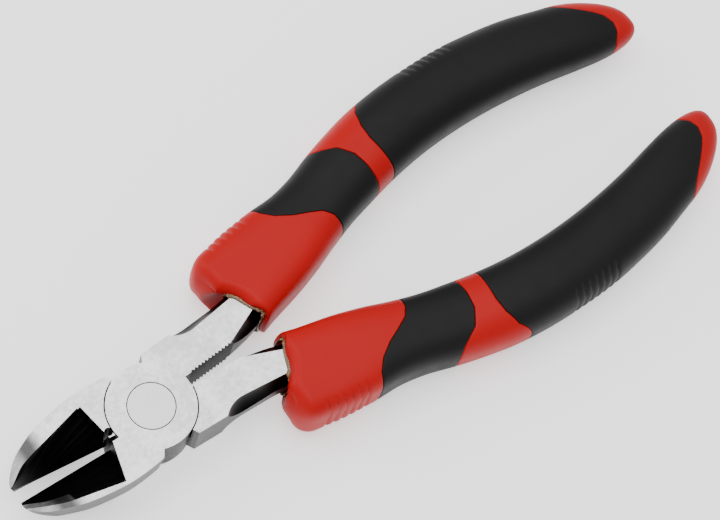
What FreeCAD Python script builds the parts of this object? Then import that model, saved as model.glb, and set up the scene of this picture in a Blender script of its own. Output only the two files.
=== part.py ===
import FreeCAD, Part
import math
import os

# Diagonal cutting pliers, 180 mm class, lap joint, two-shot comfort grips.
# Millimetres. Origin on the pivot axis in the back face of the joint.
# +X runs to the handle ends, +Y to the front lever's handle, +Z out of the front face.
# Every outline below is drawn with the tool shut, for a handle on the +Y side.

# ---- joint -------------------------------------------------------------------
JOINT_THICKNESS = 11.0
DISC_RADIUS = 9.8
DISC_SIDE_CLEARANCE = 0.3
LAP_GAP = 0.06
REST_HALF_ANGLE = 2.43
RIVET_HEAD_RADIUS = 5.1
RIVET_SHANK_RADIUS = 3.4
RIVET_HEAD_DEPTH = 1.6
RIVET_RUNNING_CLEARANCE = 0.05
RIVET_SEAT_CLEARANCE = 0.02
RIVET_EDGE_BREAK = 0.18

# ---- jaws --------------------------------------------------------------------
JAW_TIP_X = -35.1
EDGE_SLANT = 4.98
EDGE_OFFSET = 2.24
EDGE_GAP = 0.06
JAW_OUTLINE = [(-4.9, 10.6), (-9.5, 10.85), (-14.3, 10.65), (-19.0, 9.85),
               (-24.6, 8.4), (-28.1, 6.95), (-31.0, 5.5), (-33.3, 3.6), (-34.75, 1.9)]
# The jaw's shoulder falls back by this much in x and y towards the disc.
JAW_SHOULDER_FALL = (1.08, 1.35)
JAW_WALL_DRAFT = 1.1
NOSE_LENGTH = 10.1
NOSE_TIP_THICKNESS = 1.6
NOSE_OVERRUN = 1.0
BEVEL_REAR = 10.9
BEVEL_CORNER = (13.5, 8.85)
BEVEL_RIM_ANGLE = 16.2
BEVEL_FOOT_STEP = 0.5
BEVEL_OVERSHOOT = 1.2
RELIEF_HOLE_RADIUS = 0.95
RELIEF_HOLE_X = -10.8
RELIEF_HOLE_AWAY = 1.25

# ---- tangs -------------------------------------------------------------------
TANG_INNER = 0.85
TANG_OUTER = 10.35
TANG_SHOULDER_X = 5.3
# The shoulder falls back by this much in x and y to where it meets the disc.
TANG_SHOULDER_FALL = (1.0, 1.75)
TANG_ROOT_LAP = 1.5
TANG_HEART = (2.0, 2.0)
TANG_BEND_X = 25.0
TANG_FULL_X = 31.0
TANG_END_X = 101.0
TANG_CENTRE = [(30.5, 6.35), (40.0, 9.4), (52.0, 13.0), (64.0, 16.6),
               (76.0, 19.7), (88.0, 21.0)]
TANG_END_Y = 20.6
TANG_END_WIDTH = 6.0
TANG_THIN_X = 45.0
TANG_THIN_THICKNESS = 7.0
SCOOP_RADIUS = 7.0
OUTER_SCOOP_START = (17.5, 15.2, 11.8)
OUTER_SCOOP_END = (36.0, 16.6, 11.4)
INNER_SCOOP_START = (18.0, -7.9, 12.1)
INNER_SCOOP_END = (36.0, -1.3, 12.1)
SERRATION_START_X = 11.4
SERRATION_END_X = 23.2
SERRATION_TEETH = 13
SERRATION_DEPTH = 0.45

# ---- grips -------------------------------------------------------------------
GRIP_THICKNESS = 15.8
# Stations along the grip: x, inner side y, outer side y.
GRIP_STATIONS = [(22.0, -0.8, 15.0), (25.6, -0.3, 17.2), (30.0, 0.3, 20.6), (38.0, 1.7, 22.2),
                 (47.0, 3.5, 22.7), (56.0, 6.0, 23.6), (65.0, 8.5, 26.1), (75.0, 10.4, 28.4),
                 (86.0, 11.6, 29.4), (97.0, 11.7, 29.4), (108.0, 10.7, 28.2), (118.0, 8.9, 26.3),
                 (127.0, 6.9, 23.8), (137.0, 4.7, 20.0), (150.0, 3.0, 14.0)]
GRIP_EDGE_RADIUS = 5.0
END_BALL_RADIUS = 12.4
END_BALL_CENTRE = (134.1, 8.7)
END_BALL_START_X = 137.5
MOUTH_LINE = [(24.8, 24.0), (24.8, 11.6), (31.6, 0.9), (36.0, -6.0)]
# Rounding of the lip: height from mid thickness, set-back from the mouth.
MOUTH_ROUNDING = [(3.8, 0.0), (6.4, 0.6), (8.2, 2.4)]
MOUTH_DISH_RADIUS = 9.6
MOUTH_DISH_CENTRE = (21.4, 6.0)
OVERMOULD_THICKNESS = 3.0
BOND_GAP = 0.06
SOCKET_CLEARANCE = 0.1
BEAD_WIDTH = 0.6
BEAD_DEPTH = (1.9, 3.6)
GROOVE_PITCH = 1.9
GROOVE_DEPTH = 0.4
GROOVE_HALF_WIDTH = 0.57
# Rows of finger grooves: x of the first groove, number of grooves.
GUARD_GROOVES = (32.0, 6)
PALM_GROOVES = (93.5, 7)

# Parting lines between the red core and the black sleeves, seen from the front.
# Each line is a run of arcs: every second point ends an arc.
GUARD_LINE = [(44.6, 28.0), (44.9, 22.0), (47.6, 17.6), (51.6, 15.1), (56.2, 12.9),
              (58.6, 10.2), (60.2, 2.0)]
BAND_FRONT_LINE = [(60.6, 30.5), (65.0, 24.6), (69.0, 22.2), (71.6, 17.6), (72.2, 5.0)]
BAND_REAR_LINE = [(84.5, 33.0), (78.3, 27.2), (76.4, 22.0), (76.4, 16.5), (77.9, 6.0)]
TIP_LINE = [(133.0, 30.0), (133.2, 21.0), (134.6, 16.4), (137.4, 13.9), (139.8, 11.2),
            (140.7, 8.2), (138.4, -1.0)]

MID_Z = JOINT_THICKNESS / 2
JOINT_AXIS = FreeCAD.Vector(0, 0, 1)
# Cutters run past what they cut by a margin, or reach far beyond the whole tool.
CUT_MARGIN = 5.0
CUT_REACH = 40.0


def vector(x, y, z=0.0):
    return FreeCAD.Vector(x, y, z)


def polygon(points):
    """Closed wire through points given as vectors."""
    return Part.makePolygon(points + [points[0]])


def spline(points):
    """Smooth edge through points given as vectors."""
    curve = Part.BSplineCurve()
    curve.interpolate(points)
    return curve.toShape()


def prism(wire, height):
    """Solid swept straight up from a flat closed wire."""
    return Part.Face(wire).extrude(vector(0, 0, height))


def on_side(points, side, z):
    """Plan points drawn for the +Y side, placed on the given side at height z."""
    return [vector(x, y * side, z) for x, y in points]


def cylinder(radius, z_low, z_high, x=0.0, y=0.0):
    return Part.makeCylinder(radius, z_high - z_low, vector(x, y, z_low), JOINT_AXIS)


def edge_line_y(x):
    """Height of the shut cutting line, which crosses the tool axis at a slant."""
    slant = math.radians(EDGE_SLANT)
    return -EDGE_OFFSET / math.cos(slant) - x * math.tan(slant)


def along_edge(along, away, side):
    """Plan point at a distance along the cutting line and away from it into a jaw."""
    slant = math.radians(EDGE_SLANT)
    x = -along * math.cos(slant) + (away * side - EDGE_OFFSET) * math.sin(slant)
    y = along * math.sin(slant) + (away * side - EDGE_OFFSET) * math.cos(slant)
    return x, y


# ---- jaws --------------------------------------------------------------------
def jaw_wire(side, inset, z):
    """Plan outline of a jaw, drawn in by a wall inset, on the given side."""
    start_x, start_y = JAW_OUTLINE[0]
    reach = math.hypot(start_x, start_y)
    scale = 1 - inset / reach
    outline = [(x * scale, y * scale) for x, y in JAW_OUTLINE]
    tip = (JAW_TIP_X * scale, edge_line_y(JAW_TIP_X) + side * EDGE_GAP / 2)
    root = (0.0, edge_line_y(0.0) + side * EDGE_GAP / 2)
    fall_x, fall_y = JAW_SHOULDER_FALL
    shoulder = (outline[0][0] + fall_x, outline[0][1] - fall_y)
    top = on_side(outline, side, z)
    tip_point = vector(tip[0], tip[1], z)
    root_point = vector(root[0], root[1], z)
    shoulder_point = on_side([shoulder], side, z)[0]
    edges = [Part.makeLine(root_point, shoulder_point),
             Part.makeLine(shoulder_point, top[0]),
             spline(top + [tip_point]),
             Part.makeLine(tip_point, root_point)]
    return Part.Wire(edges)


def nose_profile():
    """Side view of both jaws: flat faces that curve in to the thin tip."""
    half_tip = NOSE_TIP_THICKNESS / 2
    start_x = JAW_TIP_X + NOSE_LENGTH
    length = NOSE_LENGTH + NOSE_OVERRUN
    drop = MID_Z - half_tip
    radius = (length * length + drop * drop) / (2 * drop)
    angle = math.asin(length / radius) / 2
    middle_x = start_x - radius * math.sin(angle)
    middle_drop = radius * (1 - math.cos(angle))
    tip_x = start_x - length
    y = -CUT_REACH
    low = [vector(start_x, y, 0), vector(middle_x, y, middle_drop),
           vector(tip_x, y, MID_Z - half_tip)]
    high = [vector(point.x, y, JOINT_THICKNESS - point.z) for point in low]
    back = vector(CUT_MARGIN, y, 0)
    front = vector(CUT_MARGIN, y, JOINT_THICKNESS)
    edges = [Part.makeLine(back, low[0]),
             Part.Arc(low[0], low[1], low[2]).toShape(),
             Part.makeLine(low[2], high[2]),
             Part.Arc(high[2], high[1], high[0]).toShape(),
             Part.makeLine(high[0], front),
             Part.makeLine(front, back)]
    return Part.Face(Part.Wire(edges)).extrude(vector(0, 2 * CUT_REACH, 0))


def bevel_cutter(side):
    """Ground recess that leaves the cutting edge at mid thickness on the front face."""
    corner_along, corner_away = BEVEL_CORNER
    converge = math.radians(BEVEL_RIM_ANGLE)
    slant = math.radians(EDGE_SLANT) * side
    far_away = corner_away - (CUT_REACH - corner_along) * math.tan(converge + slant)
    rear_mid = BEVEL_REAR + BEVEL_FOOT_STEP
    low = [along_edge(rear_mid, -1.0, side), along_edge(rear_mid, 0.0, side),
           along_edge(CUT_REACH, 0.0, side), along_edge(CUT_REACH, -1.0, side)]
    rim = [along_edge(BEVEL_REAR, -1.0, side), along_edge(corner_along, corner_away, side),
           along_edge(CUT_REACH, far_away, side), along_edge(CUT_REACH, -1.0, side)]
    high = [(a[0] + (b[0] - a[0]) * BEVEL_OVERSHOOT, a[1] + (b[1] - a[1]) * BEVEL_OVERSHOOT)
            for a, b in zip(low, rim)]
    z_high = MID_Z + MID_Z * BEVEL_OVERSHOOT
    bottom = polygon([vector(x, y, MID_Z) for x, y in low])
    top = polygon([vector(x, y, z_high) for x, y in high])
    return Part.makeLoft([bottom, top], True, True)


def turned_over(shape):
    """The same shape on the back face, mirrored about mid thickness."""
    return shape.mirror(vector(0, 0, MID_Z), JOINT_AXIS)


def jaw(side):
    """One jaw: drafted outer wall, curved nose and a bevel ground into each face."""
    body = Part.makeLoft([jaw_wire(side, JAW_WALL_DRAFT, 0.0),
                          jaw_wire(side, 0.0, JOINT_THICKNESS)], True, True)
    body = body.common(nose_profile())
    cutter = bevel_cutter(side)
    return body.cut(cutter).cut(turned_over(cutter))


# ---- tangs -------------------------------------------------------------------
def tang_blank(clearance, z_clearance):
    """Tang from the shoulder to its end inside the grip, grown by a clearance."""
    half = (TANG_OUTER - TANG_INNER) / 2
    start_x = TANG_CENTRE[0][0]
    inner = []
    outer = []
    inside = [(x, y) for x, y in TANG_CENTRE if x < TANG_END_X - TANG_END_WIDTH]
    for x, y in inside:
        share = (x - start_x) / (TANG_END_X - start_x)
        width = half + (TANG_END_WIDTH / 2 - half) * share + clearance
        inner.append(vector(x, y - width))
        outer.append(vector(x, y + width))
    end_half = TANG_END_WIDTH / 2 + clearance
    end_low = vector(TANG_END_X, TANG_END_Y - end_half)
    end_high = vector(TANG_END_X, TANG_END_Y + end_half)
    nose = vector(TANG_END_X + end_half, TANG_END_Y)
    inner_start = vector(TANG_BEND_X, TANG_INNER - clearance)
    outer_start = vector(TANG_BEND_X, TANG_OUTER + clearance)
    root_low = vector(DISC_RADIUS - TANG_ROOT_LAP, TANG_INNER - clearance)
    shoulder = vector(TANG_SHOULDER_X, TANG_OUTER + clearance)
    fall_x, fall_y = TANG_SHOULDER_FALL
    shoulder_root = vector(TANG_SHOULDER_X - fall_x, TANG_OUTER - fall_y)
    heart = vector(*TANG_HEART)
    edges = [Part.makeLine(root_low, inner_start),
             spline([inner_start] + inner + [end_low]),
             Part.Arc(end_low, nose, end_high).toShape(),
             spline([end_high] + outer[::-1] + [outer_start]),
             Part.makeLine(outer_start, shoulder),
             Part.makeLine(shoulder, shoulder_root),
             Part.makeLine(shoulder_root, heart),
             Part.makeLine(heart, root_low)]
    plan = prism(Part.Wire(edges), JOINT_THICKNESS + 2 * z_clearance)
    plan.translate(vector(0, 0, -z_clearance))
    return plan.common(tang_side_view(z_clearance))


def tang_side_view(z_clearance):
    """Thickness of the tang: full at the joint, thin inside the grip."""
    y = -CUT_REACH
    far_x = TANG_END_X + CUT_MARGIN
    full = MID_Z + z_clearance
    thin = TANG_THIN_THICKNESS / 2 + z_clearance
    top = [(0, full), (TANG_FULL_X, full), (TANG_THIN_X, thin), (far_x, thin)]
    points = [vector(x, y, MID_Z + height) for x, height in top]
    points += [vector(x, y, MID_Z - height) for x, height in top[::-1]]
    return Part.Face(polygon(points)).extrude(vector(0, 2 * CUT_REACH, 0))


def scoop(start, end):
    """Round-nosed cutter run in a straight line, which hollows an edge of the tang."""
    path = vector(*end) - vector(*start)
    nose = Part.makeSphere(SCOOP_RADIUS, vector(*start))
    run = Part.makeCylinder(SCOOP_RADIUS, path.Length, vector(*start), path)
    return nose.fuse(run)


def serration():
    """Comb of vee cuts across the inner wall of the front tang."""
    pitch = (SERRATION_END_X - SERRATION_START_X) / SERRATION_TEETH
    outside = TANG_INNER - CUT_MARGIN
    points = [vector(SERRATION_START_X, outside)]
    for tooth in range(SERRATION_TEETH):
        x = SERRATION_START_X + tooth * pitch
        points.append(vector(x, TANG_INNER))
        points.append(vector(x + pitch / 2, TANG_INNER + SERRATION_DEPTH))
    points.append(vector(SERRATION_END_X, TANG_INNER))
    points.append(vector(SERRATION_END_X, outside))
    comb = prism(polygon(points), JOINT_THICKNESS + 2 * CUT_MARGIN)
    comb.translate(vector(0, 0, -CUT_MARGIN))
    return comb


def tang():
    """Bare tang for the +Y handle with both edges hollowed on both faces."""
    body = tang_blank(0.0, 0.0)
    for start, end in ((OUTER_SCOOP_START, OUTER_SCOOP_END),
                       (INNER_SCOOP_START, INNER_SCOOP_END)):
        cutter = scoop(start, end)
        body = body.cut(cutter).cut(turned_over(cutter))
    return body


# ---- levers ------------------------------------------------------------------
def rivet_profile(clearance):
    """Revolved rivet with a flush conical head at each face, grown by a clearance."""
    head = RIVET_HEAD_RADIUS + clearance
    shank = RIVET_SHANK_RADIUS + clearance
    points = [vector(0, 0, 0), vector(head, 0, 0), vector(shank, 0, RIVET_HEAD_DEPTH),
              vector(shank, 0, JOINT_THICKNESS - RIVET_HEAD_DEPTH),
              vector(head, 0, JOINT_THICKNESS), vector(0, 0, JOINT_THICKNESS)]
    return Part.Face(polygon(points)).revolve(vector(0, 0, 0), JOINT_AXIS, 360)


def seat_edge_break(clearance):
    """Chamfer round the rivet seat that shows as a ring on each face."""
    inner = RIVET_HEAD_RADIUS + clearance
    ring = Part.makeCone(inner, inner + RIVET_EDGE_BREAK, RIVET_EDGE_BREAK,
                         vector(0, 0, JOINT_THICKNESS - RIVET_EDGE_BREAK), JOINT_AXIS)
    return ring


def lever(handle_side, disc_low, disc_high, rivet_clearance):
    """One forged lever: jaw, half-thickness joint disc and tang in one piece."""
    jaw_side = -handle_side
    limb = tang()
    if handle_side > 0:
        limb = limb.cut(serration())
    else:
        limb = limb.mirror(vector(0, 0, 0), vector(0, 1, 0))
    other_low = JOINT_THICKNESS - disc_high - LAP_GAP / 2
    other_high = JOINT_THICKNESS - disc_low + LAP_GAP / 2
    clear = cylinder(DISC_RADIUS + DISC_SIDE_CLEARANCE, other_low, other_high)
    body = jaw(jaw_side).fuse(limb)
    body = body.cut(clear)
    body = body.fuse(cylinder(DISC_RADIUS, disc_low, disc_high))
    body = body.cut(rivet_profile(rivet_clearance))
    chamfer = seat_edge_break(rivet_clearance)
    body = body.cut(chamfer).cut(turned_over(chamfer))
    relief_y = edge_line_y(RELIEF_HOLE_X) + RELIEF_HOLE_AWAY
    relief = cylinder(RELIEF_HOLE_RADIUS, -CUT_MARGIN, JOINT_THICKNESS + CUT_MARGIN,
                      RELIEF_HOLE_X, relief_y)
    return body.cut(relief).removeSplitter()


# ---- grips -------------------------------------------------------------------
def grip_block(inset):
    """Straight-sided block through the stations, every side drawn in by an inset."""
    z = MID_Z - GRIP_THICKNESS / 2 + inset
    inner_side = [vector(x, inner + inset, z) for x, inner, outer in GRIP_STATIONS]
    outer_side = [vector(x, outer - inset, z) for x, inner, outer in GRIP_STATIONS]
    return prism(polygon(inner_side + outer_side[::-1]), GRIP_THICKNESS - 2 * inset)


def end_rounding():
    """What is left beyond the ball that rounds off the end of the grip."""
    x, y = END_BALL_CENTRE
    block = Part.makeBox(CUT_REACH, CUT_REACH * 2, CUT_REACH * 2,
                         vector(END_BALL_START_X, y - CUT_REACH, MID_Z - CUT_REACH))
    return block.cut(Part.makeSphere(END_BALL_RADIUS, vector(x, y, MID_Z)))


def mouth_plan(set_back, z):
    """Outline at height z of everything in front of the mouth, which is set back."""
    line = [vector(x + set_back, y, z) for x, y in MOUTH_LINE]
    far = [vector(0, MOUTH_LINE[-1][1], z), vector(0, MOUTH_LINE[0][1], z)]
    return polygon(line + far)


def mouth_block(set_back):
    """Everything in front of the mouth of the guard."""
    return prism(mouth_plan(set_back, -3 * CUT_MARGIN), JOINT_THICKNESS + 6 * CUT_MARGIN)


def lip_cutter():
    """What the rounded front lip leaves out, above mid thickness."""
    sections = [mouth_plan(set_back, MID_Z + height) for height, set_back in MOUTH_ROUNDING]
    return Part.makeLoft(sections, True, True)


def mouth_dish():
    """Round hollow in the mouth where the tang enters."""
    x, y = MOUTH_DISH_CENTRE
    return Part.makeSphere(MOUTH_DISH_RADIUS, vector(x, y, MID_Z))


def outer_side_y(x):
    """Outer side of the grip at x."""
    for (x1, _, y1), (x2, _, y2) in zip(GRIP_STATIONS, GRIP_STATIONS[1:]):
        if x1 <= x <= x2:
            return y1 + (y2 - y1) * (x - x1) / (x2 - x1)
    return GRIP_STATIONS[-1][2]


def finger_grooves(row):
    """Row of upright vee grooves in the outer side of the grip."""
    start_x, count = row
    z = MID_Z - GRIP_THICKNESS / 2
    grooves = []
    for number in range(count):
        x = start_x + number * GROOVE_PITCH
        y = outer_side_y(x)
        mouth = 2 * GROOVE_HALF_WIDTH
        vee = [vector(x, y - GROOVE_DEPTH, z), vector(x + mouth, y + GROOVE_DEPTH, z),
               vector(x - mouth, y + GROOVE_DEPTH, z)]
        grooves.append(prism(polygon(vee), GRIP_THICKNESS))
    return Part.makeCompound(grooves)


def grip_body():
    """Outer form of the whole grip, from the mouth of the guard to the rounded end."""
    body = grip_block(0.0)
    long_edges = [edge for edge in body.Edges if edge.BoundBox.XLength > 1.0]
    body = body.makeFillet(GRIP_EDGE_RADIUS, long_edges)
    lip = lip_cutter()
    for cutter in (end_rounding(), mouth_block(0.0), lip, turned_over(lip), mouth_dish(),
                   finger_grooves(GUARD_GROOVES), finger_grooves(PALM_GROOVES)):
        body = body.cut(cutter)
    return body


def arc_run(points):
    """Edges of a run of arcs in which every second point ends an arc."""
    return [Part.Arc(points[i], points[i + 1], points[i + 2]).toShape()
            for i in range(0, len(points) - 2, 2)]


def sleeve_region(front_line, rear_line, gap):
    """Upright block between two parting lines, held back from both by a gap."""
    z = -2 * CUT_MARGIN
    front = [vector(x + gap, y, z) for x, y in front_line]
    rear = [vector(x - gap, y, z) for x, y in rear_line]
    edges = arc_run(front) + [Part.makeLine(front[-1], rear[-1])]
    edges += arc_run(rear[::-1]) + [Part.makeLine(rear[0], front[0])]
    return prism(Part.Wire(edges), JOINT_THICKNESS + 4 * CUT_MARGIN)


def grip_pieces():
    """Core, front sleeve, rear sleeve and adhesive bead for the +Y handle."""
    body = grip_body()
    inner_core = grip_block(OVERMOULD_THICKNESS)
    inner_fit = grip_block(OVERMOULD_THICKNESS - BOND_GAP)
    regions = ((GUARD_LINE, BAND_FRONT_LINE), (BAND_REAR_LINE, TIP_LINE))
    core = body
    sleeves = []
    for front_line, rear_line in regions:
        recess = sleeve_region(front_line, rear_line, 0.0).cut(inner_core)
        core = core.cut(recess)
        sleeve = body.common(sleeve_region(front_line, rear_line, BOND_GAP)).cut(inner_fit)
        sleeves.append(sleeve)
    core = core.cut(tang_blank(SOCKET_CLEARANCE, SOCKET_CLEARANCE))
    shallow, deep = BEAD_DEPTH
    bead_zone = mouth_block(deep).cut(mouth_block(shallow))
    core = core.cut(tang_blank(BEAD_WIDTH, BEAD_WIDTH).common(bead_zone))
    bead = tang_blank(BEAD_WIDTH - BOND_GAP, BEAD_WIDTH - BOND_GAP).common(bead_zone)
    bead = bead.cut(tang_blank(BOND_GAP, BOND_GAP))
    return {"grip_core": core, "front_sleeve": sleeves[0],
            "palm_sleeve": sleeves[1], "adhesive_bead": bead}


# ---- assembly ----------------------------------------------------------------
def opened(shape, handle_side):
    """Turn a lever's piece from the shut pose to the stored, slightly open pose."""
    turned = shape.copy()
    turned.rotate(vector(0, 0, 0), JOINT_AXIS, REST_HALF_ANGLE * handle_side)
    return turned


def build():
    lap_low = MID_Z - LAP_GAP / 2
    lap_high = MID_Z + LAP_GAP / 2
    front = lever(1, lap_high, JOINT_THICKNESS, RIVET_RUNNING_CLEARANCE)
    back = lever(-1, 0.0, lap_low, RIVET_SEAT_CLEARANCE)
    nodes = {"front_lever": opened(front, 1), "back_lever": opened(back, -1),
             "pivot_rivet": rivet_profile(0.0)}
    for name, shape in grip_pieces().items():
        nodes["upper_" + name] = opened(shape, 1)
        flipped = shape.mirror(vector(0, 0, 0), vector(0, 1, 0))
        nodes["lower_" + name] = opened(flipped, -1)
    return nodes


os.makedirs("parts", exist_ok=True)
for name, shape in build().items():
    shape.exportStep(os.path.join("parts", name + ".step"))
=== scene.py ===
import math

import bpy
import numpy as np
from mathutils import Matrix, Vector


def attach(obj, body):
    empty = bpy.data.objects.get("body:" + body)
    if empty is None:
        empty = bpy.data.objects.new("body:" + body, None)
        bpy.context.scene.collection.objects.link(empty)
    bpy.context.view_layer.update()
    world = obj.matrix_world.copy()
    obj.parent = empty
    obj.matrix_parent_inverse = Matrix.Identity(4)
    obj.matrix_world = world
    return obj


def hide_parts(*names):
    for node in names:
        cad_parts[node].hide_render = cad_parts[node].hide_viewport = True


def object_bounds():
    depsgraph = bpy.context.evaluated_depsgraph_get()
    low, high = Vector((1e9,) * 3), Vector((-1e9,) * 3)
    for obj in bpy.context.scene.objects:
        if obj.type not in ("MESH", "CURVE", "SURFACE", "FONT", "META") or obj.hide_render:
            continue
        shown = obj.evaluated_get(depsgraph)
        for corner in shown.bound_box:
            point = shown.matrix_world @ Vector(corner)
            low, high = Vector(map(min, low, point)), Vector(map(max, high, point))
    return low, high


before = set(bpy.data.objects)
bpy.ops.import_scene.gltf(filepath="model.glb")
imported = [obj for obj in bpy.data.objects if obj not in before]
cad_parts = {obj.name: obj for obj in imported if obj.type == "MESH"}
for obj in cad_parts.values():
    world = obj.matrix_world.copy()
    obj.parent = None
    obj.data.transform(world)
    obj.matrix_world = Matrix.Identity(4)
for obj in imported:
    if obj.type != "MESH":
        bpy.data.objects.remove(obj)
cad_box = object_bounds()

# ---- studio: a pale sheet under the pliers, one large soft light and a bright room ----
# The camera stands 0.70 m from the pliers, steeply above the lower handle, and is
# turned about its own axis so that the jaws point down to the left.
floor_half = 3.0
floor_gap = 0.0001
floor_z = cad_box[0][2] - floor_gap
floor_mesh = bpy.data.meshes.new("studio_floor")
floor_mesh.from_pydata([(-floor_half, -floor_half, floor_z), (floor_half, -floor_half, floor_z),
                        (floor_half, floor_half, floor_z), (-floor_half, floor_half, floor_z)],
                       [], [(0, 1, 2, 3)])
floor_paper = bpy.data.materials.new("pale_paper")
floor_paper.use_nodes = True
paper = floor_paper.node_tree.nodes["Principled BSDF"]
paper.inputs["Base Color"].default_value = (0.93, 0.93, 0.93, 1)
paper.inputs["Roughness"].default_value = 0.9
paper.inputs["Emission Color"].default_value = (1, 1, 1, 1)
paper.inputs["Emission Strength"].default_value = 0.8
floor_mesh.materials.append(floor_paper)
studio_floor = bpy.data.objects.new("studio_floor", floor_mesh)
bpy.context.collection.objects.link(studio_floor)

room = bpy.data.worlds.new("bright_room")
room.use_nodes = True
room.node_tree.nodes["Background"].inputs["Color"].default_value = (1, 1, 1, 1)
room.node_tree.nodes["Background"].inputs["Strength"].default_value = 0.8
bpy.context.scene.world = room


def soft_light(name, place, aim, size, power):
    """Square area light at a place, turned so that it shines towards an aim point."""
    light = bpy.data.lights.new(name, "AREA")
    light.size = size
    light.energy = power
    lamp = bpy.data.objects.new(name, light)
    lamp.location = place
    lamp.rotation_euler = (Vector(aim) - Vector(place)).to_track_quat("-Z", "Y").to_euler()
    bpy.context.collection.objects.link(lamp)


light_aim = (0.05, 0, 0)
soft_light("overhead_softbox", (0.05, 0.15, 0.90), light_aim, 0.8, 7.0)
soft_light("side_softbox", (-0.45, 0.70, 0.45), light_aim, 0.4, 3.0)

azimuth, elevation, roll = math.radians(-57.914), math.radians(66.912), math.radians(22.338)
camera_distance = 0.700
camera_target = Vector((0.0608, 0.0040, 0.0))
backward = Vector((math.sin(azimuth) * math.cos(elevation),
                   -math.cos(azimuth) * math.cos(elevation), math.sin(elevation)))
level = Vector((math.cos(azimuth), math.sin(azimuth), 0.0))
upward = backward.cross(level)
camera_x = level * math.cos(roll) + upward * math.sin(roll)
camera_y = upward * math.cos(roll) - level * math.sin(roll)
camera = bpy.data.objects.new("camera", bpy.data.cameras.new("camera"))
camera.data.sensor_width = 36.0
camera.data.lens = 159.06
camera.data.clip_end = 10.0
camera.matrix_world = (Matrix.Translation(camera_target + backward * camera_distance)
                       @ Matrix((camera_x, camera_y, backward)).transposed().to_4x4())
bpy.context.collection.objects.link(camera)
bpy.context.scene.camera = camera


# ---- forged levers: one drop-forged steel piece each, jaw, joint disc and tang --------
# The forging is blacked all over; then the front and back faces are ground flat and
# bright, which leaves the jaw hollows and the scoops of the tangs black.
class Recipe:
    """A material under construction: short ways to add shader nodes and join them."""

    def __init__(self, name):
        self.material = bpy.data.materials.new(name)
        self.material.use_nodes = True
        self.nodes = self.material.node_tree.nodes
        self.links = self.material.node_tree.links
        self.skin = self.nodes["Principled BSDF"]
        self.place = self.nodes.new("ShaderNodeTexCoord")

    def node(self, kind, settings=None, **wires):
        """A node of a kind; wires join its sockets, named with _ for a space."""
        made = self.nodes.new("ShaderNode" + kind)
        for key, value in (settings or {}).items():
            setattr(made, key, value)
        for key, value in wires.items():
            label = int(key[1:]) if key[1:].isdigit() else key.replace("_", " ")
            self.join(value, made.inputs[label])
        return made

    def join(self, value, socket):
        """Puts a number, a colour or another node's output on a socket."""
        if hasattr(value, "is_linked"):
            self.links.new(value, socket)
        else:
            socket.default_value = value

    def sum(self, operation, a, b=0.0, c=0.0, clamp=False):
        """Output of a maths node."""
        made = self.node("Math", {"operation": operation, "use_clamp": clamp}, _0=a, _1=b)
        if operation in ("MULTIPLY_ADD", "COMPARE", "SMOOTH_MIN", "SMOOTH_MAX"):
            self.join(c, made.inputs[2])
        return made.outputs[0]

    def step(self, value, low, high):
        """0 below low, 1 above high and smooth between; high may be the smaller one."""
        made = self.node("MapRange", {"interpolation_type": "SMOOTHSTEP"},
                         Value=value, From_Min=min(low, high), From_Max=max(low, high),
                         To_Min=0.0 if low < high else 1.0, To_Max=1.0 if low < high else 0.0)
        return made.outputs["Result"]

    def blend(self, share, a, b):
        """Colour between a and b."""
        made = self.node("Mix", {"data_type": "RGBA"})
        self.join(share, made.inputs[0])
        self.join(a, made.inputs[6])
        self.join(b, made.inputs[7])
        return made.outputs[2]

    def noise(self, scale, detail=3.0, rough=0.5, where=None):
        """Cloudy noise between 0 and 1; the scale is in cycles for each metre."""
        made = self.node("TexNoise", Scale=scale, Detail=detail, Roughness=rough,
                         Vector=where or self.place.outputs["Object"])
        return made.outputs[0]

    def stretched(self, x, y, z, turn=0.0):
        """Object place with each axis scaled after a turn about Z in degrees."""
        made = self.node("Mapping", Vector=self.place.outputs["Object"],
                         Rotation=(0.0, 0.0, math.radians(turn)), Scale=(x, y, z))
        return made.outputs[0]

    def bump(self, height, strength, distance):
        """Roughens the skin with a height field."""
        made = self.node("Bump", Height=height, Strength=strength, Distance=distance)
        self.links.new(made.outputs[0], self.skin.inputs["Normal"])


MIDDLE_Z = 0.0055
GROUND_HEIGHT = (0.00535, 0.00545)
LEVEL = (0.93, 0.985)
SLOPING = (0.25, 0.32)
UPRIGHT = (0.25, 0.10)
RIM_ROOT = 0.0128
RIM_LINE = {1: (0.0085, 0.22), -1: (0.0096, 0.32)}
RIM_WAIST = (-0.0290, -0.0350)
RIM_WAIST_DEPTH = 0.0016
HOLLOW_ROOT_X = {1: -0.0132, -1: -1.0}
NOSE_START = (-0.0248, -0.0254)
SHADE_REAR = (-0.0225, -0.0262)
SHADE_FRONT = (-0.0318, -0.0275)
SHADE_DEPTH = 0.93
FAN_CENTRE_X = -0.0335
FAN_RAYS = 42.0
FAN_RINGS = 60.0
FAN_END = (0.0, -0.004)
JAW_END = (0.008, 0.002)
TANG_FLARE = 0.045
OUTER_WALL_Y = (0.0062, 0.0070)
JOINT_RADIUS = (0.01060, 0.01045)
SCRATCH_SCALE = (420.0, 9000.0, 420.0)
BRIGHT_STEEL = ((0.48, 0.48, 0.485, 1), (0.72, 0.72, 0.725, 1))
SHADED_STEEL = (0.030, 0.030, 0.030, 1)
BLACK_STEEL = ((0.0020, 0.0020, 0.0021, 1), (0.015, 0.015, 0.0155, 1))
FORGED_GREY = ((0.025, 0.025, 0.026, 1), (0.060, 0.060, 0.062, 1))
JAW_GREY = ((0.05, 0.05, 0.05, 1), (0.10, 0.10, 0.10, 1))
JOINT_BLACK = (0.010, 0.010, 0.010, 1)


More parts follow.
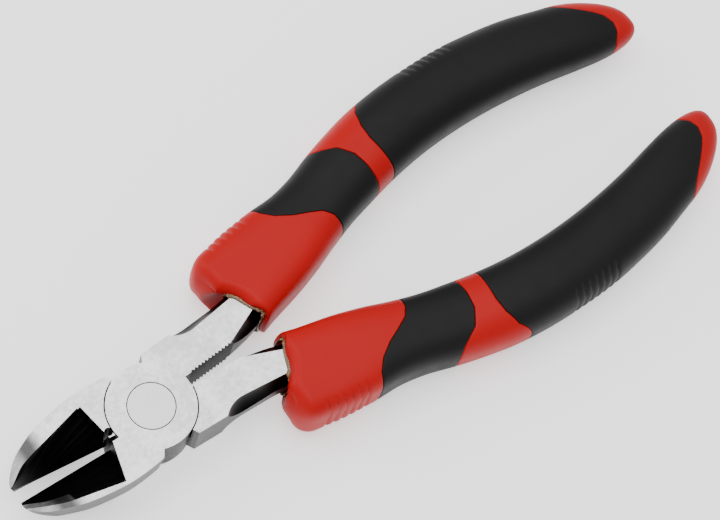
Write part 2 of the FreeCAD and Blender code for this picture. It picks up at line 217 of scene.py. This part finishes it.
def blackened_and_ground_steel(name, jaw_side):
    """Bright ground faces, black hollows with fanned grinding marks, grey forged sides."""
    steel = Recipe(name)
    x, y, z = steel.node("SeparateXYZ", Vector=steel.place.outputs["Object"]).outputs
    tilt = steel.node("SeparateXYZ", Vector=steel.place.outputs["Normal"]).outputs[2]
    flatness = steel.sum("ABSOLUTE", tilt)
    upright = steel.step(flatness, *UPRIGHT)
    across = steel.sum("ABSOLUTE", y)
    height = steel.sum("ABSOLUTE", steel.sum("SUBTRACT", z, MIDDLE_Z))

    start, fall = RIM_LINE[jaw_side]
    rim_line = steel.sum("MULTIPLY_ADD", steel.sum("ADD", x, RIM_ROOT), fall, start)
    waist = steel.sum("MULTIPLY", steel.step(x, *RIM_WAIST), RIM_WAIST_DEPTH)
    rim = steel.sum("GREATER_THAN", across, steel.sum("SUBTRACT", rim_line, waist))
    kept = steel.sum("GREATER_THAN", x, HOLLOW_ROOT_X[jaw_side])
    ground = steel.sum("MULTIPLY", steel.step(flatness, *LEVEL), steel.step(height, *GROUND_HEIGHT))
    ground = steel.sum("MULTIPLY", ground, steel.sum("MAXIMUM", rim, kept))
    nose = steel.sum("MULTIPLY", steel.step(x, *NOSE_START), steel.step(flatness, *SLOPING))
    is_bright = steel.sum("MAXIMUM", ground, steel.sum("MULTIPLY", nose, rim))

    mottle = steel.noise(900.0, 4.0, 0.6)
    cloud = steel.noise(160.0, 2.0, 0.5)
    patches = steel.sum("MULTIPLY_ADD", mottle, 0.6, steel.sum("MULTIPLY", cloud, 0.4))
    bright = steel.blend(steel.step(patches, 0.36, 0.64), *BRIGHT_STEEL)
    shade = steel.sum("MULTIPLY", steel.step(x, *SHADE_REAR), steel.step(x, *SHADE_FRONT))
    shade = steel.sum("MULTIPLY", shade, steel.sum("MULTIPLY", rim, SHADE_DEPTH))
    bright = steel.blend(shade, bright, SHADED_STEEL)

    beside_fan = steel.sum("ADD", y, 0.002 * -jaw_side + 0.0016)
    ray = steel.sum("ARCTAN2", beside_fan, steel.sum("SUBTRACT", x, FAN_CENTRE_X))
    fan = steel.node("CombineXYZ", X=steel.sum("MULTIPLY", ray, FAN_RAYS),
                     Y=steel.sum("MULTIPLY", across, FAN_RINGS))
    streaks = steel.step(steel.noise(1.0, 4.0, 0.65, fan.outputs[0]), 0.47, 0.75)
    streaks = steel.sum("MULTIPLY", streaks, steel.step(x, *FAN_END))
    black = steel.blend(streaks, *BLACK_STEEL)

    wall = steel.blend(steel.step(x, *JAW_END), steel.blend(mottle, *FORGED_GREY),
                       steel.blend(mottle, *JAW_GREY))
    flare = steel.sum("MULTIPLY", steel.sum("MAXIMUM", x, 0.0), TANG_FLARE)
    outward = steel.step(steel.sum("SUBTRACT", across, flare), *OUTER_WALL_Y)
    colour = steel.blend(steel.sum("MULTIPLY", upright, outward), black, wall)
    colour = steel.blend(is_bright, colour, bright)
    squares = steel.sum("ADD", steel.sum("MULTIPLY", x, x), steel.sum("MULTIPLY", y, y))
    near_joint = steel.step(steel.sum("SQRT", squares), *JOINT_RADIUS)
    colour = steel.blend(steel.sum("MULTIPLY", upright, near_joint), colour, JOINT_BLACK)

    steel.join(colour, steel.skin.inputs["Base Color"])
    steel.skin.inputs["Metallic"].default_value = 1.0
    steel.join(steel.sum("MULTIPLY_ADD", mottle, 0.16, 0.34), steel.skin.inputs["Roughness"])
    scratches = steel.noise(1.0, 3.0, 0.6, steel.stretched(*SCRATCH_SCALE, 28.0))
    grain = steel.sum("ADD", steel.sum("MULTIPLY", scratches, 0.5), steel.sum("MULTIPLY", mottle, 0.5))
    steel.bump(grain, 0.12, 0.0001)
    return steel.material


for lever, jaw_side in (("front_lever", -1), ("back_lever", 1)):
    finish = blackened_and_ground_steel(lever + "_steel", jaw_side)
    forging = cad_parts[lever]
    forging.data.materials.clear()
    forging.data.materials.append(finish)


# ---- pivot rivet: a turned steel rivet, ground flush with both faces of the joint -----
# Only its ends show: two bright discs in a fine ring where the seat edge is broken.
def ground_rivet_steel():
    """Bright steel with faint cloudy grinding and fine scratches in one direction."""
    steel = Recipe("rivet_steel")
    mottle = steel.noise(1100.0, 4.0, 0.6)
    scratches = steel.noise(1.0, 3.0, 0.6, steel.stretched(*SCRATCH_SCALE, 31.0))
    colour = steel.blend(mottle, (0.44, 0.44, 0.445, 1), (0.72, 0.72, 0.725, 1))
    steel.join(colour, steel.skin.inputs["Base Color"])
    steel.skin.inputs["Metallic"].default_value = 0.92
    steel.join(steel.sum("MULTIPLY_ADD", mottle, 0.16, 0.32), steel.skin.inputs["Roughness"])
    steel.bump(steel.sum("ADD", scratches, mottle), 0.10, 0.0001)
    return steel.material


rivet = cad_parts["pivot_rivet"]
rivet.data.materials.clear()
rivet.data.materials.append(ground_rivet_steel())


# ---- red grip cores: hard red plastic moulded round each tang -------------------------
# The core shows as the guard at the front, a slanted band at the neck and the end cap.
# Between them it lies 3 mm lower, as the bed for the soft black sleeves.
MILLIMETRE = 0.001
REST_TURN = math.radians(2.43)
MID_HEIGHT = 5.5
AROUND = 176
OUTLINE_X = np.array([20.0, 25.0, 28.0, 32.4, 36.0, 44.3, 51.0, 57.0, 63.8, 70.0, 77.0, 86.0,
                      95.0, 104.0, 112.5, 121.0, 129.0, 137.5, 147.0])
OUTER_Y = np.array([20.2, 20.6, 20.9, 21.5, 22.05, 22.6, 22.75, 23.8, 25.8, 27.3, 28.65, 29.4,
                    29.4, 28.85, 27.5, 25.6, 23.0, 20.3, 16.9])
INNER_Y = np.array([-1.2, -0.7, -0.3, 0.35, 1.2, 2.8, 4.5, 6.4, 8.3, 9.5, 10.7, 11.65,
                    11.8, 11.25, 10.15, 8.55, 6.6, 4.6, 2.7])
THICKNESS = np.array([15.7, 15.75, 15.75, 15.75, 15.75, 15.7, 15.5, 15.2, 15.1, 15.2, 15.4, 15.5,
                      15.4, 15.1, 14.6, 13.8, 12.8, 11.4, 10.2])
SQUARENESS = np.array([4.6, 4.6, 4.6, 4.6, 4.5, 4.0, 3.4, 3.0, 2.8, 2.7, 2.6, 2.6,
                       2.6, 2.6, 2.6, 2.6, 2.6, 2.6, 2.6])
END_START_X = 131.0
END_X = 146.2
END_Y = 8.6
END_BLUNT_OUTER = 0.8
END_BLUNT_INNER = 0.6
HALVINGS = 40
HANDLES = (("upper", 1, "front_half"), ("lower", -1, "back_half"))


def through(x, table_x, table_y):
    """Smooth curve through a table: on each span the cubic with the slopes at its ends,
    each slope being the mean of the two chords that meet there."""
    chord = np.diff(table_y) / np.diff(table_x)
    slope = np.concatenate([chord[:1], (chord[:-1] + chord[1:]) / 2, chord[-1:]])
    x = np.clip(x, table_x[0], table_x[-1])
    span = np.clip(np.searchsorted(table_x, x) - 1, 0, len(table_x) - 2)
    width = table_x[span + 1] - table_x[span]
    t = (x - table_x[span]) / width
    return ((2 * t**3 - 3 * t**2 + 1) * table_y[span] + (t**3 - 2 * t**2 + t) * width * slope[span]
            + (3 * t**2 - 2 * t**3) * table_y[span + 1] + (t**3 - t**2) * width * slope[span + 1])


def end_share(x):
    """1 up to the start of the rounded end, then the cosine of a quarter turn to 0."""
    s = np.clip((x - END_START_X) / (END_X - END_START_X), 0, 1)
    return np.sqrt(np.maximum(1 - s * s, 0))


def grip_point(x, angle, inset):
    """Point of the grip's skin at x and at an angle round the section, drawn in by an
    inset: a superellipse whose corners are squarer at the guard, closing to a point at
    the end like an ellipse that is blunter on its inner side."""
    close = end_share(x)
    outer = END_Y + (through(x, OUTLINE_X, OUTER_Y) - END_Y) * close**END_BLUNT_OUTER
    inner = END_Y + (through(x, OUTLINE_X, INNER_Y) - END_Y) * close**END_BLUNT_INNER
    half_y = np.maximum((outer - inner) / 2 - inset, 0.0)
    half_z = np.maximum(through(x, OUTLINE_X, THICKNESS) / 2 * close**END_BLUNT_INNER - inset, 0.0)
    power = 2 / through(x, OUTLINE_X, SQUARENESS)
    c, s = np.cos(angle), np.sin(angle)
    y = (outer + inner) / 2 + half_y * np.sign(c) * np.abs(c)**power
    z = MID_HEIGHT + half_z * np.sign(s) * np.abs(s)**power
    return np.stack([x, y, z], axis=-1)


def place_in_hand(points, side):
    """Turns a piece drawn shut for the +Y handle into its place at rest, in metres."""
    turn = REST_TURN * side
    x, y, z = points[..., 0], points[..., 1] * side, points[..., 2]
    return np.stack([x * math.cos(turn) - y * math.sin(turn),
                     x * math.sin(turn) + y * math.cos(turn), z], axis=-1) * MILLIMETRE


def crossing(line_x, line_y, angle, low, high):
    """x at which each line along the grip meets a parting line x = f(y), by halving."""
    low = np.full(angle.shape, low)
    high = np.full(angle.shape, high)
    for _ in range(HALVINGS):
        middle = (low + high) / 2
        y = grip_point(middle, angle, 0.0)[..., 1]
        before = middle < np.interp(y, line_y, line_x)
        low = np.where(before, middle, low)
        high = np.where(before, high, middle)
    return (low + high) / 2


def skin_mesh(name, rows, side, finish, closed_ring=False, tip=None, root=None):
    """Mesh of rows of points round a grip. The rows are joined in order, back to the
    first one for a closed ring; a root and a tip point close the ends. One handle's
    faces are reversed, so that both are wound alike: on both, the faces point inwards."""
    grid = np.stack(rows)
    count, around = grid.shape[:2]
    points = place_in_hand(grid.reshape(-1, 3), side)
    extra = [p for p in (root, tip) if p is not None]
    if extra:
        points = np.concatenate([points, place_in_hand(np.array(extra, float), side)])
    row = np.arange(count if closed_ring else count - 1)[:, None]
    column = np.arange(around)
    after = (row + 1) % count
    beside = (column + 1) % around
    quads = np.stack([row * around + column, row * around + beside,
                      after * around + beside, after * around + column], axis=-1).reshape(-1, 4)
    faces = quads.tolist()
    last = count * around
    if root is not None:
        faces += np.stack([np.full(around, last), beside, column], axis=-1).tolist()
        last += 1
    if tip is not None:
        start = (count - 1) * around
        faces += np.stack([np.full(around, last), start + column, start + beside], axis=-1).tolist()
    if side > 0:
        faces = [face[::-1] for face in faces]
    mesh = bpy.data.meshes.new(name)
    mesh.from_pydata(points.tolist(), [], faces)
    mesh.polygons.foreach_set("use_smooth", np.ones(len(mesh.polygons), dtype=bool))
    mesh.materials.append(finish)
    mesh.validate()
    mesh.update()
    piece = bpy.data.objects.new(name, mesh)
    bpy.context.collection.objects.link(piece)
    return piece


FINE_STEPS = 20000


def even_angles(count, half_y, half_z, power):
    """Angles that space points evenly along a superellipse, the first at angle 0."""
    angle = np.linspace(0, 2 * math.pi, FINE_STEPS + 1)
    c, s = np.cos(angle), np.sin(angle)
    y = half_y * np.sign(c) * np.abs(c)**(2 / power)
    z = half_z * np.sign(s) * np.abs(s)**(2 / power)
    run = np.concatenate([[0.0], np.cumsum(np.hypot(np.diff(y), np.diff(z)))])
    return np.interp(np.linspace(0, run[-1], count, endpoint=False), run, angle)


ANGLE = even_angles(AROUND, 10.0, 7.8, 3.6)
GUARD_LINE = np.array([(60.3, 2.0), (59.4, 7.0), (58.6, 10.2), (57.0, 12.3), (54.0, 13.9), (51.0, 15.3),
                       (47.6, 17.6), (45.6, 20.0), (44.9, 22.0), (44.5, 25.0)])
BAND_FRONT_LINE = np.array([(72.2, 6.0), (72.1, 10.0), (71.9, 14.6), (71.2, 18.6), (69.0, 22.2),
                            (65.0, 24.5), (62.0, 27.0)])
BAND_REAR_LINE = np.array([(77.7, 7.0), (77.2, 11.0), (76.7, 15.4), (76.3, 19.6), (76.6, 23.0),
                           (78.0, 26.6), (81.4, 29.6), (83.0, 31.0)])
TIP_LINE = np.array([(135.6, 2.6), (138.4, 4.8), (140.3, 7.2), (140.9, 9.4), (140.2, 11.9), (138.6, 13.9),
                     (136.2, 16.4), (133.8, 18.8), (131.8, 21.0), (129.6, 25.0)])
GROOVE_PITCH = 1.9
GROOVE_WIDTH = 0.36
GROOVE_DEPTH = 0.42
GROOVE_END_HEIGHT = 0.86
GROOVE_FADE = 0.22
GROOVES = ((32.0, 6), (93.5, 7))
EDGE_SHARES = np.array([0.0, 0.08, 0.3, 0.65, 1.0])


def groove_depth(x, angle):
    """Depth of the finger grooves: narrow bells along x, fading round the section."""
    depth = np.zeros(np.broadcast(x, angle).shape)
    for start, count in GROOVES:
        for number in range(count):
            depth += np.exp(-((x - start - number * GROOVE_PITCH) / GROOVE_WIDTH)**2)
    height = np.abs(np.sin(angle))
    reach = np.clip((GROOVE_END_HEIGHT - height) / GROOVE_FADE, 0, 1) * (np.cos(angle) > 0)
    return GROOVE_DEPTH * depth * reach


def skin_rows(start, end, spacing, edge_start, edge_end):
    """Rows of skin between two parting lines, with edges rounded by a quarter circle
    of the given radii; the rows lie closest together at the edges."""
    length = float(np.max(end - start))
    share = np.linspace(0, 1, max(int(length / spacing), 4))
    for edge, at in ((edge_start, 0), (edge_end, 1)):
        if edge > 0:
            near = EDGE_SHARES * edge / length
            share = np.concatenate([share, near if at == 0 else 1 - near])
    rows = []
    for s in np.unique(np.round(share, 6)):
        x = start + (end - start) * s
        inset = groove_depth(x, ANGLE)
        for edge, run in ((edge_start, x - start), (edge_end, end - x)):
            if edge > 0:
                close = np.clip(1 - run / edge, 0, 1)
                inset = inset + edge * (1 - np.sqrt(np.maximum(1 - close**2, 0)))
        rows.append(grip_point(x, ANGLE, inset))
    return rows


BED_DEPTH = 2.9
BED_ROWS = 24
EDGE = 0.28
GAP = 0.05
FINE_SPACING = 0.26
BAND_SPACING = 0.5
END_ROWS = 34
END_CROWDING = 2.2
END_GAP = 0.003
CAP_LENGTH = 8
guard_edge = crossing(GUARD_LINE[:, 0], GUARD_LINE[:, 1], ANGLE, 36.0, 66.0)
band_front_edge = crossing(BAND_FRONT_LINE[:, 0], BAND_FRONT_LINE[:, 1], ANGLE, 56.0, 78.0)
band_rear_edge = crossing(BAND_REAR_LINE[:, 0], BAND_REAR_LINE[:, 1], ANGLE, 70.0, 90.0)
cap_edge = crossing(TIP_LINE[:, 0], TIP_LINE[:, 1], ANGLE, 126.0, 143.0)

# The mouth of the guard slants from the outer ear back to the inner side, where the tang
# comes out of it, and its lip is rounded, most at the ear.
MOUTH_X = np.array([36.0, 31.6, 25.2, 25.2])
MOUTH_Y = np.array([-6.0, 0.9, 11.6, 24.0])
TANG_MIDDLE_Y = 6.25
TANG_HALF = (4.90, 5.60)
SOCKET_END_X = 44.0
SOCKET_END_Y = 10.7
SOCKET_CORNER = 0.44
SOCKET_ROWS = ((SOCKET_END_X, 4.45), (40.0, 3.15), (36.0, 1.75), (33.0, 0.77))
MOUTH_SHARES = (0.0, 0.04, 0.12, 0.25, 0.4, 0.55, 0.7, 0.85, 0.95)
MOUTH_SETBACK = 0.055
DISH_CENTRE_X = 21.2
DISH_MIDDLE_Y = 5.75
DISH_RADIUS = 10.6
DISH_SQUEEZE = 1.25
DISH_SOFTNESS = 0.5
LIP_INNER = 0.75
LIP_OUTER = 1.8
LIP_EAR = 1.9
LIP_ROWS = 9


def mouth_face(y, z):
    """x of the mouth's face: the slanted mouth line, set back towards the top and the
    bottom, or the round dish about the tang where that lies deeper."""
    height = np.abs(z - MID_HEIGHT)
    plain = np.interp(y, MOUTH_Y, MOUTH_X) + MOUTH_SETBACK * height**2
    squeezed = (y - DISH_MIDDLE_Y) * DISH_SQUEEZE
    dish = DISH_CENTRE_X + np.sqrt(np.maximum(DISH_RADIUS**2 - squeezed**2 - height**2, 0))
    return (plain + dish + np.sqrt((plain - dish)**2 + DISH_SOFTNESS)) / 2


def guard_front_rows():
    """Rows from the end of the socket, out through the dished mouth and over the lip."""
    c, s = np.cos(ANGLE), np.sin(ANGLE)
    thick = np.clip((c + 1) / 0.9, 0, 1)
    lip = LIP_INNER + LIP_OUTER * thick**2 * (3 - 2 * thick) + LIP_EAR * np.clip(c, 0, 1)**2
    across = np.sign(c) * np.abs(c)**SOCKET_CORNER
    along = np.sign(s) * np.abs(s)**SOCKET_CORNER
    square = np.maximum(np.abs(across), np.abs(along))
    tang_y = TANG_MIDDLE_Y + TANG_HALF[0] * across / square
    tang_z = MID_HEIGHT + TANG_HALF[1] * along / square
    front = np.full(AROUND, 28.0)
    for _ in range(4):
        rim = grip_point(front, ANGLE, lip)
        front = mouth_face(rim[:, 1], rim[:, 2])
    hole = np.stack([mouth_face(tang_y, tang_z), tang_y, tang_z], axis=-1)
    rows = []
    for x, shift in SOCKET_ROWS:
        rows.append(np.stack([np.full(AROUND, x), tang_y + shift, tang_z], axis=-1))
    for share in MOUTH_SHARES:
        row = hole + (rim - hole) * share
        row[:, 0] = mouth_face(row[:, 1], row[:, 2])
        rows.append(row)
    for turn in np.linspace(0, math.pi / 2, LIP_ROWS):
        x = front + lip * (1 - math.cos(turn))
        rows.append(grip_point(x, ANGLE, lip * (1 - math.sin(turn))))
    return rows, front + lip


def red_plastic():
    """Satin red moulding: faint flow clouding, fine texture and dull rubbed spots."""
    plastic = Recipe("red_plastic")
    cloud = plastic.noise(70.0, 2.0, 0.5)
    grain = plastic.noise(5200.0, 2.0, 0.5)
    colour = plastic.blend(cloud, (0.37, 0.0010, 0.0016, 1), (0.43, 0.0018, 0.0024, 1))
    plastic.join(colour, plastic.skin.inputs["Base Color"])
    plastic.join(plastic.sum("MULTIPLY_ADD", plastic.noise(240.0, 3.0, 0.6), 0.14, 0.40),
                 plastic.skin.inputs["Roughness"])
    plastic.skin.inputs["Specular IOR Level"].default_value = 0.15
    plastic.bump(grain, 0.10, 0.00005)
    return plastic.material


red = red_plastic()
for hand, side, body in HANDLES:
    rows, guard_start = guard_front_rows()
    rows += skin_rows(guard_start, guard_edge, FINE_SPACING, 0.0, EDGE)[1:]
    for start, end in ((guard_edge, band_front_edge), (band_rear_edge, cap_edge)):
        rows.append(grip_point(start, ANGLE, BED_DEPTH))
        for share in np.linspace(0, 1, BED_ROWS)[1:-1]:
            rows.append(grip_point(start + (end - start) * share, ANGLE, BED_DEPTH))
        rows.append(grip_point(end, ANGLE, BED_DEPTH))
        if end is band_front_edge:
            rows += skin_rows(band_front_edge, band_rear_edge, BAND_SPACING, EDGE, EDGE)
    steps = 1 - (1 - np.linspace(0, 1, END_ROWS))**END_CROWDING
    for s in np.unique(np.concatenate([steps, EDGE_SHARES[1:] * EDGE / CAP_LENGTH])):
        x = cap_edge + (END_X - END_GAP - cap_edge) * s
        close = np.clip(1 - (x - cap_edge) / EDGE, 0, 1)
        rows.append(grip_point(x, ANGLE, EDGE * (1 - np.sqrt(1 - close**2))))
    core = skin_mesh(hand + "_red_core", rows, side, red,
                     tip=(END_X, END_Y, MID_HEIGHT), root=(SOCKET_END_X, SOCKET_END_Y, MID_HEIGHT))
    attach(core, body)
    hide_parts(hand + "_grip_core")


# ---- black sleeves: soft rubber moulded over the core in two lengths on each handle ---
# The front sleeve fills the neck and the long palm sleeve the bow of the handle; both
# lie flush with the red, with a fine crease where the two plastics meet.
def black_rubber():
    """Matt black rubber: fine leathery grain, greyer where hands have polished it."""
    rubber = Recipe("black_rubber")
    cloud = rubber.noise(55.0, 3.0, 0.55)
    grain = rubber.noise(3600.0, 3.0, 0.6)
    colour = rubber.blend(cloud, (0.0035, 0.0035, 0.0036, 1), (0.0075, 0.0075, 0.0077, 1))
    rubber.join(colour, rubber.skin.inputs["Base Color"])
    rubber.join(rubber.sum("MULTIPLY_ADD", rubber.noise(300.0, 3.0, 0.6), 0.16, 0.44),
                rubber.skin.inputs["Roughness"])
    rubber.skin.inputs["Specular IOR Level"].default_value = 0.16
    rubber.bump(grain, 0.22, 0.00006)
    return rubber.material


SLEEVE_BACK_ROWS = 20
rubber = black_rubber()
for hand, side, body in HANDLES:
    for name, start, end, node in (("neck", guard_edge, band_front_edge, "front_sleeve"),
                                   ("palm", band_rear_edge, cap_edge, "palm_sleeve")):
        rows = skin_rows(start + GAP, end - GAP, FINE_SPACING, EDGE, EDGE)
        for share in np.linspace(1, 0, SLEEVE_BACK_ROWS):
            x = start + GAP + (end - start - 2 * GAP) * share
            rows.append(grip_point(x, ANGLE, BED_DEPTH - GAP))
        sleeve = skin_mesh(hand + "_" + name + "_rubber", rows, side, rubber, closed_ring=True)
        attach(sleeve, body)
        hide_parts(hand + "_" + node)


# ---- adhesive: a thin line of brown glue where each tang enters its grip --------------
# It was squeezed out of the socket and set unevenly, with trapped pale dust.
def brown_glue():
    """Clear brown resin with darker clots and a few pale specks."""
    glue = Recipe("brown_glue")
    clots = glue.noise(1500.0, 3.0, 0.6)
    specks = glue.step(glue.noise(4200.0, 1.0, 0.5), 0.66, 0.72)
    colour = glue.blend(clots, (0.035, 0.014, 0.004, 1), (0.20, 0.095, 0.025, 1))
    colour = glue.blend(specks, colour, (0.75, 0.68, 0.50, 1))
    glue.join(colour, glue.skin.inputs["Base Color"])
    glue.skin.inputs["Roughness"].default_value = 0.28
    glue.bump(clots, 0.5, 0.0002)
    return glue.material


GLUE_AROUND = 161
GLUE_RING = 14
GLUE_CORNER = 0.3
GLUE_INSET_Y = 0.30
GLUE_OUTSET_Z = 0.02
GLUE_SINK = 0.05


def glue_rows():
    """Closed tube round the tang: its middle line is the edge of the socket, and its
    thickness swells and shrinks by a few waves round the tang."""
    square = np.linspace(0, 2 * math.pi, GLUE_AROUND, endpoint=False)
    c, s = np.cos(square), np.sin(square)
    across = np.sign(c) * np.abs(c)**GLUE_CORNER
    along = np.sign(s) * np.abs(s)**GLUE_CORNER
    y = TANG_MIDDLE_Y + (TANG_HALF[0] - GLUE_INSET_Y) * across
    z = MID_HEIGHT + (TANG_HALF[1] + GLUE_OUTSET_Z) * along
    waves = 0.5 + 0.2 * np.sin(5 * square + 1) + 0.17 * np.sin(11 * square)
    waves = waves + 0.13 * np.sin(23 * square + 2)
    swell = (0.14 + 0.46 * waves) * (0.35 + 0.65 * np.abs(along))
    x = mouth_face(y, z) - GLUE_SINK
    rows = []
    for turn in np.linspace(0, 2 * math.pi, GLUE_RING, endpoint=False):
        ahead = swell * 1.7 * math.cos(turn)
        out = swell * 0.55 * math.sin(turn)
        rows.append(np.stack([x - ahead, y + out * across, z + out * along], axis=-1))
    return rows


glue = brown_glue()
for hand, side, body in HANDLES:
    squeeze = skin_mesh(hand + "_glue_line", glue_rows(), side, glue, closed_ring=True)
    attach(squeeze, body)
    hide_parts(hand + "_adhesive_bead")
